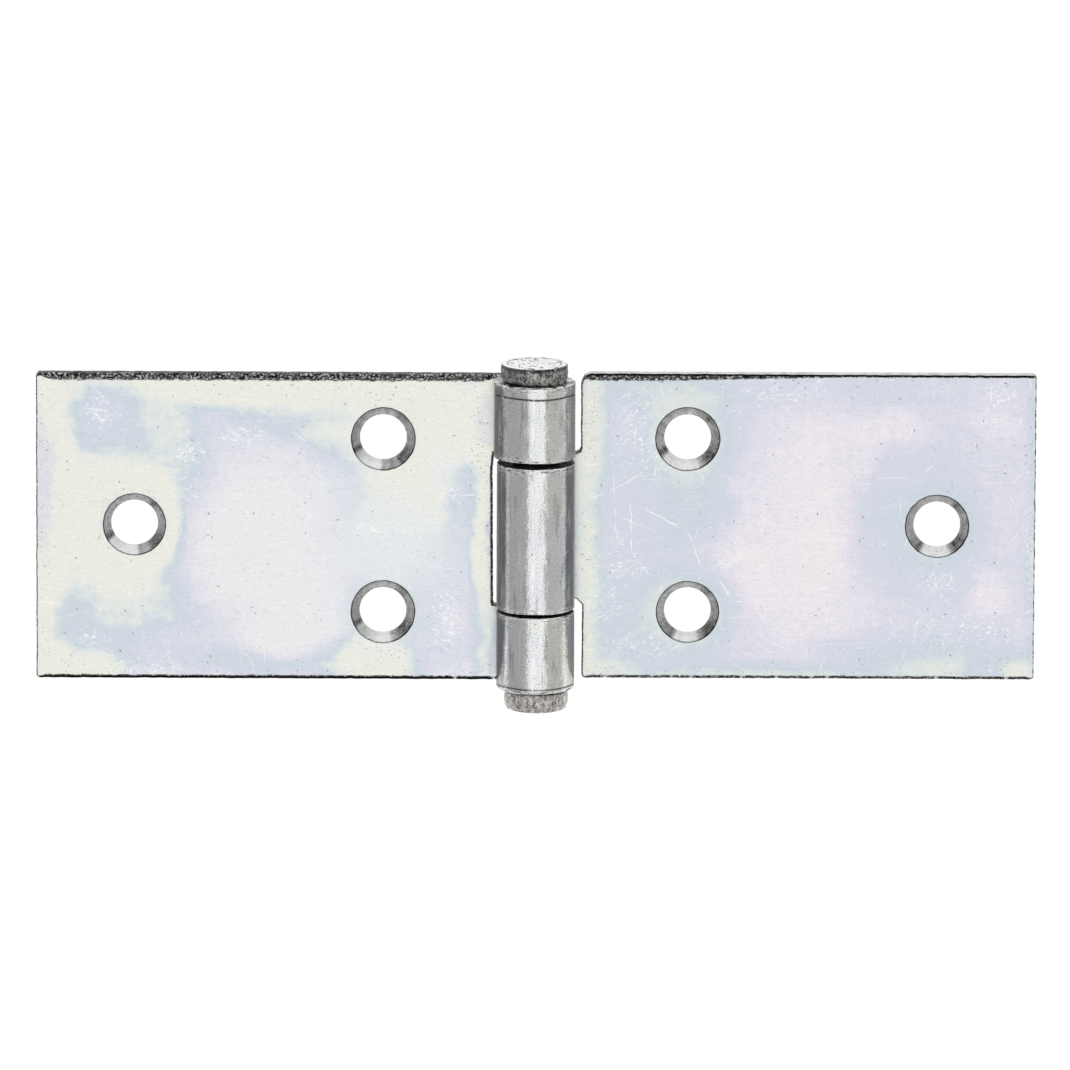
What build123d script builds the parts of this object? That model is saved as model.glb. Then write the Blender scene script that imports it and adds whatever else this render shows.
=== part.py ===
from build123d import *
from math import asin, cos, degrees, radians, sin
import os

# Broad butt hinge of rolled sheet, opened flat and lying on its back.
# X runs across the leaves, Y along the pin, Z up out of the countersunk faces.
# The origin is on the leaves' back plane, under the middle of the pin.
# Lengths are in millimetres.

# Leaves
sheet_thickness = 2.0
leaf_height = 40.0
leaf_reach = 64.5
far_corner_radius = 0.6
near_corner_radius = 1.55
front_edge_ease = 0.4
back_edge_ease = 0.3

# Pin and rolled bores
pin_diameter = 6.0
pin_clearance = 0.05
seam_gap = 0.25

# Knuckles along the pin
upper_knuckle_length = 10.0
middle_knuckle_length = 19.2
upper_gap = 0.65
lower_gap = 0.35
knuckle_drop = 0.4
drop_run = 3.5
tip_cut = 0.7
leaf_lift = 0.2

# Notches, which let each leaf clear the other's knuckles
notch_clearance = 0.7
notch_radius = 0.5
relief_radius = 0.7

# Countersunk screw holes
hole_diameter = 6.05
countersink_diameter = 8.35
countersink_angle = 90.0
near_hole_reach = 19.7
far_hole_margin = 12.7
row_margin = 8.6
pattern_lift = 0.25

# Heads upset on the pin
top_head_height = 2.36
top_head_overhang = 1.33
top_head_bulge = 0.06
top_neck_overhang = 0.93
top_neck_height = 0.5
top_bevel = 0.3
bottom_head_height = 2.75
bottom_head_overhang = 1.16
bottom_neck_overhang = 0.95
bottom_face_overhang = 0.5

# Sizes that follow from the ones above
pin_radius = pin_diameter / 2
bore_radius = pin_radius + pin_clearance
knuckle_radius = bore_radius + sheet_thickness
notch_reach = knuckle_radius + notch_clearance
roll_angle = 270 + degrees(asin((bore_radius - seam_gap) / knuckle_radius))

top_edge = leaf_height / 2
bottom_edge = -leaf_height / 2
upper_low = top_edge - upper_knuckle_length
middle_high = upper_low - upper_gap
middle_low = middle_high - middle_knuckle_length
lower_high = middle_low - lower_gap
lower_low = bottom_edge - knuckle_drop


def corner(sketch, x, y):
    return sketch.vertices().sort_by_distance((x, y, 0))[0]


# Sheet rolled round the pin from the line under it to a free end beside the leaf at -X,
# with the free end's low corner cut away
def rolled_knuckle(low, high, end_cut=0.0):
    with BuildPart() as knuckle:
        with BuildSketch(Plane.XZ.offset(-high)):
            with BuildLine():
                outside = CenterArc((0, knuckle_radius), knuckle_radius, -90, roll_angle)
                inside = CenterArc((0, knuckle_radius), bore_radius, -90, roll_angle)
                Line(outside @ 0, inside @ 0)
                Line(outside @ 1, inside @ 1)
            make_face()
        extrude(amount=high - low)
        if end_cut:
            turn = radians(roll_angle - 90)
            outward = Vector(cos(turn), 0, sin(turn))
            end = Vector(0, low, knuckle_radius) + outward * (bore_radius + sheet_thickness / 2)
            with BuildSketch(Plane(end, x_dir=(sin(turn), 0, -cos(turn)), z_dir=outward)):
                with BuildLine():
                    Polyline((-end_cut, -end_cut), (2 * end_cut, -end_cut), (-end_cut, 2 * end_cut), close=True)
                make_face()
            extrude(amount=sheet_thickness, both=True, mode=Mode.SUBTRACT)
    return knuckle.part


# Front and back edges eased, along the flat and on round the knuckles
def eased(leaf):
    front_edges = leaf.edges().filter_by_position(Axis.Z, sheet_thickness, sheet_thickness)
    leaf = chamfer(front_edges.filter_by(Axis.X), front_edge_ease)
    back_edges = leaf.edges().filter_by_position(Axis.Z, 0, 0)
    return chamfer(back_edges.filter_by(Axis.X), back_edge_ease)


# A pair of countersunk holes by the knuckles and one near the far edge
def drilled(leaf, side, middle):
    row = leaf_height / 2 - row_margin
    centres = [
        (side * near_hole_reach, middle + row, sheet_thickness),
        (side * near_hole_reach, middle - row, sheet_thickness),
        (side * (leaf_reach - far_hole_margin), middle, sheet_thickness),
    ]
    with BuildPart() as part:
        add(leaf)
        with Locations(*centres):
            CounterSinkHole(
                hole_diameter / 2,
                countersink_diameter / 2,
                depth=sheet_thickness,
                counter_sink_angle=countersink_angle,
            )
    return part.part


# Leaf with the upper and lower knuckles, towards -X
with BuildSketch() as two_knuckle_blank:
    with BuildLine():
        Polyline((0, upper_low), (0, top_edge), (-leaf_reach, top_edge), (-leaf_reach, bottom_edge),
                 (-knuckle_radius, bottom_edge))
        Bezier((-knuckle_radius, bottom_edge), (-knuckle_radius + drop_run / 2, bottom_edge),
               (-knuckle_radius + drop_run / 2, lower_low), (-knuckle_radius + drop_run, lower_low))
        Polyline((-knuckle_radius + drop_run, lower_low), (0, lower_low), (0, lower_high),
                 (-notch_reach, lower_high), (-notch_reach, upper_low), (0, upper_low))
    make_face()
    far = [corner(two_knuckle_blank.sketch, -leaf_reach, y) for y in (top_edge, bottom_edge)]
    fillet(far, far_corner_radius)
    notch = [corner(two_knuckle_blank.sketch, -notch_reach, y) for y in (upper_low, lower_high)]
    fillet(notch, notch_radius)

two_knuckle_leaf = extrude(two_knuckle_blank.sketch, sheet_thickness)
two_knuckle_leaf += rolled_knuckle(upper_low, top_edge, tip_cut)
two_knuckle_leaf += rolled_knuckle(lower_low, lower_high)
two_knuckle_leaf = drilled(eased(two_knuckle_leaf), -1, pattern_lift)

# Leaf with the middle knuckle, towards +X
high_edge = top_edge + leaf_lift
low_edge = bottom_edge + leaf_lift
with BuildSketch() as one_knuckle_blank:
    with BuildLine():
        Polyline((0, middle_low), (0, middle_high), (notch_reach, middle_high), (notch_reach, high_edge),
                 (leaf_reach, high_edge), (leaf_reach, low_edge), (notch_reach, low_edge),
                 (notch_reach, middle_low), (0, middle_low))
    make_face()
    with Locations((notch_reach - relief_radius, middle_low)):
        Circle(relief_radius, mode=Mode.SUBTRACT)
    square = [(leaf_reach, high_edge), (leaf_reach, low_edge), (notch_reach, low_edge)]
    fillet([corner(one_knuckle_blank.sketch, *at) for at in square], far_corner_radius)
    fillet(corner(one_knuckle_blank.sketch, notch_reach, high_edge), near_corner_radius)
    inner = [(notch_reach, middle_high), (notch_reach - 2 * relief_radius, middle_low)]
    fillet([corner(one_knuckle_blank.sketch, *at) for at in inner], notch_radius)

one_knuckle_leaf = extrude(one_knuckle_blank.sketch, sheet_thickness)
one_knuckle_leaf += mirror(rolled_knuckle(middle_low, middle_high), about=Plane.YZ)
one_knuckle_leaf = drilled(eased(one_knuckle_leaf), 1, leaf_lift + pattern_lift)

# Pin, turned about its own axis, with a head upset over each end
bottom_end = lower_low - bottom_head_height
top_end = top_edge + top_head_height
with BuildPart() as pin:
    with BuildSketch() as half:
        with BuildLine():
            Polyline((0, top_end), (0, bottom_end), (pin_radius + bottom_face_overhang, bottom_end))
            ThreePointArc(
                (pin_radius + bottom_face_overhang, bottom_end),
                (pin_radius + bottom_head_overhang, lower_low - bottom_head_height / 2),
                (pin_radius + bottom_neck_overhang, lower_low),
            )
            Polyline(
                (pin_radius + bottom_neck_overhang, lower_low),
                (pin_radius, lower_low),
                (pin_radius, top_edge),
                (pin_radius + top_neck_overhang, top_edge),
                (pin_radius + top_head_overhang, top_edge + top_neck_height),
            )
            ThreePointArc(
                (pin_radius + top_head_overhang, top_edge + top_neck_height),
                (pin_radius + top_head_overhang + top_head_bulge,
                 (top_edge + top_neck_height + top_end - top_bevel) / 2),
                (pin_radius + top_head_overhang, top_end - top_bevel),
            )
            Polyline(
                (pin_radius + top_head_overhang, top_end - top_bevel),
                (pin_radius + top_head_overhang - top_bevel, top_end),
                (0, top_end),
            )
        make_face()
    revolve(axis=Axis.Y)
hinge_pin = Pos(0, 0, knuckle_radius) * pin.part

os.makedirs("parts", exist_ok=True)
export_step(two_knuckle_leaf, "parts/two_knuckle_leaf.step")
export_step(one_knuckle_leaf, "parts/one_knuckle_leaf.step")
export_step(hinge_pin, "parts/hinge_pin.step")
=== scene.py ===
import math

import bmesh
import bpy
import numpy as np
from mathutils import Matrix, Vector
from mathutils.geometry import delaunay_2d_cdt


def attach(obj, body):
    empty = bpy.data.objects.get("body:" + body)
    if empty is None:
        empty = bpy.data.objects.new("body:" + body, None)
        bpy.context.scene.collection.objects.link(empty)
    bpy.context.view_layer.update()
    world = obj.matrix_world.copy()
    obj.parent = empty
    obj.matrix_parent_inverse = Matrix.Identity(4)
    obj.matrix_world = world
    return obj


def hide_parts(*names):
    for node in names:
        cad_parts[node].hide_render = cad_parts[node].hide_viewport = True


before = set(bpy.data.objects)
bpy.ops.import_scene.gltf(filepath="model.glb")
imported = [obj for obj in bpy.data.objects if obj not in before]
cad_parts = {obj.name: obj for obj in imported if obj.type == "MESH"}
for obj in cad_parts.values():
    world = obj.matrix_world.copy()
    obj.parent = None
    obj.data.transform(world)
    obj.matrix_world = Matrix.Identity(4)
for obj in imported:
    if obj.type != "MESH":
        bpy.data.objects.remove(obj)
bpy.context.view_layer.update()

mm = 0.001   # meshes are worked out in millimetres and stored in metres
scene = bpy.context.scene
scene.view_settings.view_transform = "Standard"


# sums of arrays that several pieces use

def eased(value, start, end):
    # 0 up to start, 1 from end on, with an S-shaped rise between them
    share = np.clip((value - start) / (end - start), 0.0, 1.0)
    return share * share * (3.0 - 2.0 * share)


def wobble(turns, slowest, fastest, seed):
    # periodic unevenness of about -1 to 1: cosines of whole wave counts with seeded phases, added up
    rng, count = np.random.default_rng(seed), 20
    waves = rng.integers(slowest, fastest, count)
    phases = rng.uniform(0.0, 2.0 * np.pi, count)
    return np.cos(2.0 * np.pi * turns[..., None] * waves + phases).sum(-1) / 8.0


def ripple(along, up, shortest, longest, seed):
    # unevenness of about -1 to 1 over a surface: waves of seeded directions and lengths, added up
    rng, count = np.random.default_rng(seed), 16
    heading, length = rng.uniform(0.0, np.pi, count), rng.uniform(shortest, longest, count)
    phase = rng.uniform(0.0, 2.0 * np.pi, count)
    across = along[:, None] * np.cos(heading) + up[:, None] * np.sin(heading)
    return np.cos(2.0 * np.pi * across / length + phase).sum(1) / 7.0


def ringQuads(rows, columns):
    # corner numbers of the quads between neighbouring rows, joined round at the last column
    across, start = np.arange(columns), np.arange(rows - 1)[:, None] * columns
    first, second = (start + across).ravel(), (start + (across + 1) % columns).ravel()
    return np.stack([first, second, second + columns, first + columns], 1).tolist()


meshing = {"merge": 0.004, "sliver": 0.002, "sharpFrom": 40.0}   # two lengths in millimetres, and degrees


def storeMesh(name, places, faces, marks, material, body, node):
    # one mesh from points in millimetres: marks kept as attributes, doubles merged, faces turned outwards
    mesh = bpy.data.meshes.new(name)
    mesh.from_pydata((places * mm).tolist(), [], faces)
    for mark, values in marks.items():
        flat = values.ndim == 1
        layer = mesh.attributes.new(mark, "FLOAT" if flat else "FLOAT_VECTOR", "POINT")
        packed = np.ascontiguousarray(values, np.float32).ravel()
        layer.data.foreach_set("value" if flat else "vector", packed)
    shell = bmesh.new()
    shell.from_mesh(mesh)
    bmesh.ops.remove_doubles(shell, verts=shell.verts, dist=meshing["merge"] * mm)
    bmesh.ops.dissolve_degenerate(shell, edges=shell.edges, dist=meshing["sliver"] * mm)
    bmesh.ops.recalc_face_normals(shell, faces=shell.faces)
    shell.to_mesh(mesh)
    shell.free()
    mesh.shade_smooth()
    mesh.set_sharp_from_angle(angle=math.radians(meshing["sharpFrom"]))
    mesh.materials.append(material)
    piece = bpy.data.objects.new(name, mesh)
    scene.collection.objects.link(piece)
    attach(piece, body)
    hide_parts(node)
    print("made", name, len(mesh.vertices), "points", len(mesh.polygons), "faces")
    return piece


# finishes

class Wire:
    # one shader socket; sums of wires and numbers add Math nodes
    def __init__(self, tree, socket=None):
        self.tree, self.socket = tree, socket

    def node(self, kind, settings=None, sockets=None, out=0):
        made = self.tree.nodes.new("ShaderNode" + kind)
        for name, value in (settings or {}).items():
            if name == "stops":
                ramp = made.color_ramp
                while len(ramp.elements) < len(value):
                    ramp.elements.new(1.0)
                for element, (place, colour) in zip(ramp.elements, value):
                    element.position, element.color = place, (*colour, 1.0)
            else:
                setattr(made, name, value)
        for name, value in (sockets or {}).items():
            if isinstance(value, Wire):
                self.tree.links.new(value.socket, made.inputs[name])
            else:
                made.inputs[name].default_value = value
        return Wire(self.tree, made.outputs[out] if made.outputs else None)

    def maths(self, operation, *values):
        return self.node("Math", {"operation": operation}, dict(enumerate(values)))

    def __add__(self, other):
        return self.maths("ADD", self, other)

    def __sub__(self, other):
        return self.maths("SUBTRACT", self, other)

    def __rsub__(self, other):
        return self.maths("SUBTRACT", other, self)

    def __mul__(self, other):
        return self.maths("MULTIPLY", self, other)

    def rise(self, start, end):
        # 0 up to start, 1 from end on; start may be the larger
        return self.node("MapRange", {"interpolation_type": "SMOOTHSTEP"},
                         {"Value": self, "From Min": start, "From Max": end})

    def noise(self, scale, detail=2.0, stretch=None, turn=0.0, roughness=0.55):
        place = self
        if stretch or turn:
            place = self.turned(math.radians(turn)).vector("MULTIPLY", stretch or (1.0, 1.0, 1.0))
        return self.node("TexNoise", None,
                         {"Vector": place, "Scale": scale, "Detail": detail, "Roughness": roughness}, "Fac")

    def vector(self, operation, *others):
        return self.node("VectorMath", {"operation": operation}, dict(enumerate((self, *others))))

    def turned(self, angle):
        return self.node("Mapping", None, {"Vector": self, "Rotation": (0.0, 0.0, angle)})

    def parts(self):
        # the three numbers of a vector or colour
        split = self.node("SeparateXYZ", None, {0: self}).socket.node.outputs
        return [Wire(self.tree, socket) for socket in split]

    def strokes(self, scale, heading, spread, length, width, share):
        # one straight stroke about the middle of each cell of a plane, at a heading of its own;
        # angles are in radians, half lengths and widths in metres, share is how many of the cells have
        # a stroke, and a shorter stroke is fainter
        middle = self.node("TexVoronoi", {"voronoi_dimensions": "2D"},
                           {"Vector": self, "Scale": scale}, "Position")
        chance, turn, size = Wire(self.tree, middle.socket.node.outputs["Color"]).parts()
        x, y, _ = self.vector("SUBTRACT", middle).parts()
        angle = turn * spread + heading
        cosine, sine = self.maths("COSINE", angle), self.maths("SINE", angle)
        along = self.maths("ABSOLUTE", x * cosine + y * sine)
        off = self.maths("ABSOLUTE", y * cosine - x * sine)
        faint = (size * 0.8 + 0.2) * self.maths("LESS_THAN", chance, share)
        return off.rise(width, width * 0.3) * along.rise(size * length + length * 0.15, length * 0.1) * faint

    def tint(self, first, second):
        # the first colour where this wire is 0, the second where it is 1
        return self.node("Mix", {"data_type": "RGBA", "clamp_factor": True},
                         {0: self, 6: first, 7: second}, 2)


def grey(level, warm=0.0):
    return (level * (1.0 + warm), level, level * (1.0 - warm), 1.0)


def readMarks(start, names, out="Fac"):
    return [start.node("Attribute", {"attribute_name": name}, None, out) for name in names]


def newFinish(name):
    material = bpy.data.materials.new(name)
    material.use_nodes = True
    tree = material.node_tree
    tree.nodes.clear()
    return material, Wire(tree)


def finishWith(start, shader):
    start.node("OutputMaterial", None, {"Surface": shader})


zincPlate = {
    "roughness": 0.30,
    "hazeTint": (0.80, 0.825, 0.84, 1.0),   # where the film is rubbed pale
    "knuckleTint": grey(0.80, 0.01),
    "oliveTint": (0.83, 0.83, 0.745, 1.0),
    "flankShadeTint": grey(0.34),   # painted shade on the knuckles' sides, where they turn away
    # the countersinks' painted light and shade, with their turned rings, runs between these two
    "coneDark": grey(0.035),
    "conePale": grey(0.98),
    # colours of the sheared edges: dark where their shade is painted, with pale grains
    "edgeDark": grey(0.010),
    "edgeMiddle": grey(0.12, 0.02),
    "edgePale": grey(0.70),
    "edgeWall": grey(0.17),   # evens out the straight part of the edge
    "chipAndSheenTint": grey(0.98),   # fresh zinc in scratches, nicks and chips, and painted sheen on the top edge's wall and the knuckles' rims
    "pitTint": grey(0.06),
    "dirtTint": grey(0.07, 0.25),
    "grazingTint": grey(0.6),   # what the plating reflects at a flat angle
    "streaking": 0.10,   # how far streaks, mottles and dull specks thicken or thin the film
    "mottling": 0.26,
    "dulling": 0.14,
    "hairShine": 0.95,
    "nickShine": 0.68,
    "relief": 0.00004,   # depth of the fine grain, in metres
    "sway": 0.0006,   # how far scratches wander from straight, in metres
}


def scoreLine(place, start, end, width):
    # 1 along the line between two points of the blank, in millimetres, and 0 away from it
    span = np.subtract(end, start)
    length, turn = float(np.hypot(*span)) * mm, math.atan2(span[1], span[0])
    shifted = place.vector("SUBTRACT", (start[0] * mm, start[1] * mm, 0.0))
    along, across, _ = shifted.turned(-turn).parts()
    off, within = place.maths("ABSOLUTE", across), place.maths("ABSOLUTE", along - length / 2)
    return off.rise(width * mm, width * 0.3 * mm) * within.rise(length / 2, length / 2 - 0.0003)


def makeZincPlate(look, leaf):
    material, start = newFinish("zincPlate." + leaf["name"])
    blank, cone = readMarks(start, ("blank", "cone"), "Vector")
    film, hazed, scuffed, specked = readMarks(start, ("film", "hazed", "scuffed", "specked"))
    rolled, rimmed, flank, olive, groove = readMarks(start, ("rolled", "rimmed", "flank", "olive", "groove"))
    sheared, bright, wall, cut, tone = readMarks(start, ("sheared", "bright", "wall", "cut", "tone"))

    # tints of the film, clouded and drawn out along the sheet
    cloud = blank.noise(110.0, 4.0)
    streak = blank.noise(60.0, 4.0, (1.0, 9.0, 1.0))
    mottle = blank.noise(900.0, 4.0, None, 0.0, 0.65)
    dull = blank.noise(3800.0, 3.0, (0.7, 1.0, 1.0), 0.0, 0.7)
    thickness = film + (cloud - 0.5) * leaf["clouding"] + (streak - 0.5) * look["streaking"]
    thickness = thickness + (mottle - 0.5) * look["mottling"] + (dull - 0.5) * look["dulling"]
    colour = start.node("ValToRGB", {"stops": leaf["filmTints"]}, {"Fac": thickness}, "Color")
    colour = hazed.tint(colour, look["hazeTint"])
    colour = (rolled * 0.65).tint(colour, look["knuckleTint"])
    colour = (olive * 0.7).tint(colour, look["oliveTint"])
    # painted shade on the knuckles' sides
    colour = (flank * 0.9).tint(colour, look["flankShadeTint"])
    # the lines scored round the knuckles, painted dark as shade in them
    colour = (groove * 1.5).tint(colour, grey(0.03))

    # rolling grain along the sheet, fine dulling, rubbed streaks and slanting brush marks
    grain = blank.noise(330.0, 3.0, (1.0, 26.0, 1.0))
    rubs = blank.noise(120.0, 4.0, (1.0, 30.0, 1.0), 4.0).rise(0.60, 0.74)
    rubs = rubs * blank.noise(160.0, 2.0).rise(0.52, 0.66)
    brushed = blank.noise(330.0, 3.0, (1.0, 6.0, 1.0), 42.0).rise(0.50, 0.66) * scuffed
    colour = (grain.rise(0.62, 0.30) * 0.10 + dull.rise(0.50, 0.28) * 0.28).tint(colour, grey(0.45))
    colour = (rubs * 0.5 + brushed * 0.22).tint(colour, grey(0.95))

    # hair scratches long and short, the longer scores, and scuffed places full of small bright nicks
    sway = blank.node("TexNoise", None, {"Vector": blank, "Scale": 420.0}, "Color")
    sway = sway.vector("SUBTRACT", (0.5, 0.5, 0.5))
    bent = sway.vector("MULTIPLY_ADD", (look["sway"], look["sway"], 0.0), blank)
    hairs = bent.strokes(125.0, 0.2, 2.4, 0.0042, 0.00009, leaf["hairShare"])
    hairs = hairs + bent.strokes(370.0, -0.5, 2.9, 0.0014, 0.00007, leaf["hairShare"])
    for points, width in leaf["scores"]:
        for first, second in zip(points, points[1:]):
            hairs = hairs + scoreLine(bent, first, second, width)
    hairs = hairs * blank.noise(600.0, 2.0).rise(0.36, 0.56)
    nicks = (blank.noise(1900.0, 3.0, (1.0, 1.5, 1.0), 15.0, 0.62) + scuffed * 0.10).rise(0.655, 0.75)
    nicks = nicks + bent.strokes(800.0, 0.3, 2.6, 0.0005, 0.00008, scuffed * 0.25 + 0.05)
    colour = (hairs * look["hairShine"] + nicks * look["nickShine"]).tint(colour, look["chipAndSheenTint"])

    # pits well apart, and specks of dirt close together along the edges
    pits = bent.strokes(260.0, 0.0, 3.1, 0.00024, 0.00009, 0.6)
    pits = pits + bent.strokes(1300.0, 0.0, 3.1, 0.00018, 0.00008, specked * 0.55 + 0.02)
    pits = pits + bent.strokes(2500.0, 0.0, 3.1, 0.00013, 0.00006, specked * 0.4)
    colour = (pits * 0.9).tint(colour, look["pitTint"])

    # turned countersinks, with light and shade painted round each cone
    chatter = cone.noise(7.0, 3.0, (1.0, 1.0, 0.3), 0.0, 0.7)
    rings = cone.noise(1.0, 3.0, (0.5, 0.5, 26.0), 0.0, 0.7)
    spark = blank.noise(3100.0, 2.0, None, 0.0, 0.7)
    coneTint = tone + (chatter - 0.5) * 0.45 + (rings - 0.5) * 1.0 + (spark - 0.5) * 0.8
    coneTint = coneTint.tint(look["coneDark"], look["conePale"])
    colour = cut.tint(colour, coneTint)

    # grit and drawn lines on the knuckles, whose ends are chipped, painted with highlights and gather dirt,
    # and a painted reflection on the top edge's wall
    crumbs = blank.noise(3900.0, 2.0, (0.8, 1.0, 0.3), 0.0, 0.7)
    smears = blank.noise(1000.0, 3.0, (1.0, 4.5, 0.3), 0.0, 0.65)
    grit = blank.noise(5200.0, 2.0, None, 0.0, 0.7)
    drawn = blank.noise(1500.0, 3.0, (1.0, 0.10, 1.0), 0.0, 0.6)
    darkGrain = grit.rise(0.48, 0.34) * 0.45 + drawn.rise(0.46, 0.34) * 0.40
    paleGrain = grit.rise(0.58, 0.68) * 0.6 + drawn.rise(0.56, 0.68) * 0.45
    colour = (rolled * darkGrain).tint(colour, grey(0.25))
    colour = (rolled * paleGrain).tint(colour, look["chipAndSheenTint"])
    # pale specks along the knuckles' ends: chipped plating, and painted highlight on their rims
    chippedAndHighlit = rimmed * crumbs.rise(0.44, 0.54)
    paintedWallSheen = bright * (1.0 - smears.rise(0.46, 0.60) * 0.6)
    colour = (chippedAndHighlit + paintedWallSheen).tint(colour, look["chipAndSheenTint"])
    colour = (rimmed * smears.rise(0.53, 0.60) * 0.9).tint(colour, look["dirtTint"])

    # sheared edges painted dark as shade where they slope away, streaky and full of pale grains
    edgeTint = smears.rise(0.42, 0.54).tint(look["edgeDark"], look["edgeMiddle"])
    edgeTint = crumbs.rise(0.53, 0.62).tint(edgeTint, look["edgePale"])
    edgeTint = (wall * 0.55).tint(edgeTint, look["edgeWall"])
    edgeTint = sheared.rise(1.1, 1.4).tint(edgeTint, look["edgeDark"])
    bareAndShaded = (sheared + (crumbs - 0.5) * 1.2 + (smears - 0.5) * 0.8).rise(0.35, 0.55)
    colour = bareAndShaded.tint(colour, edgeTint)

    # rolled outsides keep the lines that bending left along the pin
    lined = blank.noise(620.0, 3.0, (1.7, 0.35, 1.0), 0.0, 0.6)
    roughness = grain * 0.10 + hairs * 0.08 + cut * 0.10 + bareAndShaded * 0.22 + (look["roughness"] - 0.05)
    roughness = roughness - rolled * 0.17 + chippedAndHighlit * 0.3
    height = grain * 0.25 + dull * 0.35 + sheared * crumbs * 2.0 + rings * cut * 1.2
    height = height + rolled * (mottle * 5.0 + lined * 4.0 + dull * 0.8)
    relief = start.node("Bump", None,
                        {"Height": height, "Strength": 0.35, "Distance": look["relief"]}, "Normal")
    finishWith(start, start.node("BsdfPrincipled", None, {
        "Base Color": colour, "Metallic": 1.0, "Roughness": roughness, "Normal": relief,
        "Specular Tint": look["grazingTint"]}))
    return material


pinSteel = {
    "sideDark": grey(0.03, 0.05), "sidePale": grey(0.56, 0.03),   # the top head's side
    "footDark": grey(0.15, 0.09), "footPale": grey(0.84, 0.04),   # the bottom head
    "faceDark": grey(0.16, 0.05), "facePale": grey(0.97),   # the top head's struck face
    "hidden": grey(0.02),   # painted shade on the pin between the knuckles and under the struck rim
    "roughness": 0.44,
    "relief": 0.0001,   # depth of the lumps and scale, in metres
    "ring": 3.45,   # radius of the ring struck into the end face, in millimetres
}


def makePinSteel(look):
    material, start = newFinish("pinSteel")
    place = start.node("TexCoord", None, None, "Object")
    wrap, = readMarks(start, ("wrap",), "Vector")
    face, foot, hidden, brow, out = readMarks(start, ("face", "foot", "hidden", "brow", "out"))

    # upset sides: blotches of scale, a few upright ribs, and under the struck rim a painted shade line with
    # painted glints in it
    ribs = wrap.noise(9.0, 3.0, (1.0, 1.0, 0.25), 0.0, 0.65)
    lumps = place.noise(1700.0, 4.0, None, 0.0, 0.7)
    scale = place.noise(4400.0, 3.0, None, 0.0, 0.7)
    patches = (ribs * 0.22 + lumps * 0.30 + scale * 0.48).rise(0.40, 0.60)
    side = patches.tint(look["sideDark"], look["sidePale"])
    colour = foot.tint(side, patches.tint(look["footDark"], look["footPale"]))
    # painted glints in the painted shade line under the struck rim
    browGlints = lumps.rise(0.60, 0.68)
    colour = (brow * 0.9).tint(colour, browGlints.tint(look["hidden"], look["facePale"]))

    # struck end face, in rings with a few dark nicks, and the struck ring painted darker as shade in its
    # groove
    rings = start.maths("SINE", out * 9.0 + lumps * 1.5) * 0.5 + 0.5
    # the struck ring's groove painted dark as shade
    struck = start.maths("ABSOLUTE", out - look["ring"]).rise(0.17, 0.04) * ribs.rise(0.35, 0.55)
    nicks = place.noise(1500.0, 2.0).rise(0.55, 0.64) + rings.rise(0.3, 1.0) * 0.22 + struck * 0.8
    onFace = (face + (scale - 0.5) * 0.5).rise(0.3, 0.7)
    colour = onFace.tint(colour, nicks.tint(look["facePale"], look["faceDark"]))
    # painted shade on the pin between the knuckles
    colour = hidden.tint(colour, look["hidden"])

    height = lumps * 0.6 + scale * 0.8 + ribs * 0.6 + rings * face * 0.4
    relief = start.node("Bump", None,
                        {"Height": height, "Strength": 0.6, "Distance": look["relief"]}, "Normal")
    roughness = scale * 0.2 + (look["roughness"] - 0.1) - face * 0.1
    finishWith(start, start.node("BsdfPrincipled", None, {
        "Base Color": colour, "Metallic": 1.0, "Roughness": roughness, "Normal": relief}))
    return material


# leaves, in millimetres: a flat blank with corners (along, up, radius), bent round the pin past along = 0

sheet = {
    "thickness": 2.0,
    "boreRadius": 3.05,
    "rollAngle": math.radians(303.67),
    "flatStep": 1.0,   # spacing of the points inside the faces
    "rollStep": 0.24,   # spacing along the roll
    "outlineStep": 0.5,   # spacing along the outline
    "arcSteps": 8,
    "lineStep": 0.3,   # spacing along a line scored round the roll
    "keepOff": 0.14,   # how near the outline a point inside a face may lie
    "edgeWander": 0.035,   # unevenness of the sheared outline
    "ragged": 0.12,   # unevenness of the front ease's width
    "frontEase": 0.22,   # width of the front ease where nothing widens it
    "frontSlope": 0.8,   # its depth over its width, and how much less that is on the top edge
    "topSlope": 0.42,
    "backEase": 0.28,   # width of the back ease, and how much less it is on the roll
    "rollBackEase": 0.12,
    "easeSteps": 7,
    "wallPaintedSheen": 1.15,   # of the painted reflection on the straight part of the top edge, where it is plated
    "wallRows": [0.08, 0.5, 0.92],   # down the straight part of the edge
    "topRun": [16.0, 40.0],   # from the pin, where the top edge's ease changes its width
    "fullerRun": (16.8, 19.8),   # up and down from the middle, where the flat grows fuller
    "dropRun": (-5.05, -1.55),   # along the blank, where the lower knuckle comes to hang lower
    "dropFrom": (-10.2, 9.8),   # the lower knuckle's top and its height
    "flareRun": (math.radians(195.0), math.radians(265.0)),   # round the pin, where an end stands off
    "rollWaves": 0.011,   # unevenness of the rolled outside
}
rollMiddle = sheet["boreRadius"] + sheet["thickness"] / 2
rollOutside = sheet["boreRadius"] + sheet["thickness"]
tip = sheet["rollAngle"] * rollMiddle

countersink = {
    "hole": 3.025, "land": 0.85, "steps": 120, "rimEase": 0.05, "backEase": 0.18,
    # how bright the turned cone is painted, clockwise from the top: painted light and shade, with dull
    # sectors painted as shade
    "clock": [0.0, 26.0, 45.0, 66.0, 105.0, 125.0, 142.0, 152.0, 240.0, 256.0, 310.0, 360.0],
    "paintedShine": [0.52, 0.46, 0.24, 0.48, 0.50, 0.18, 0.26, 0.48, 0.42, 0.56, 0.50, 0.52],
}

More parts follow.
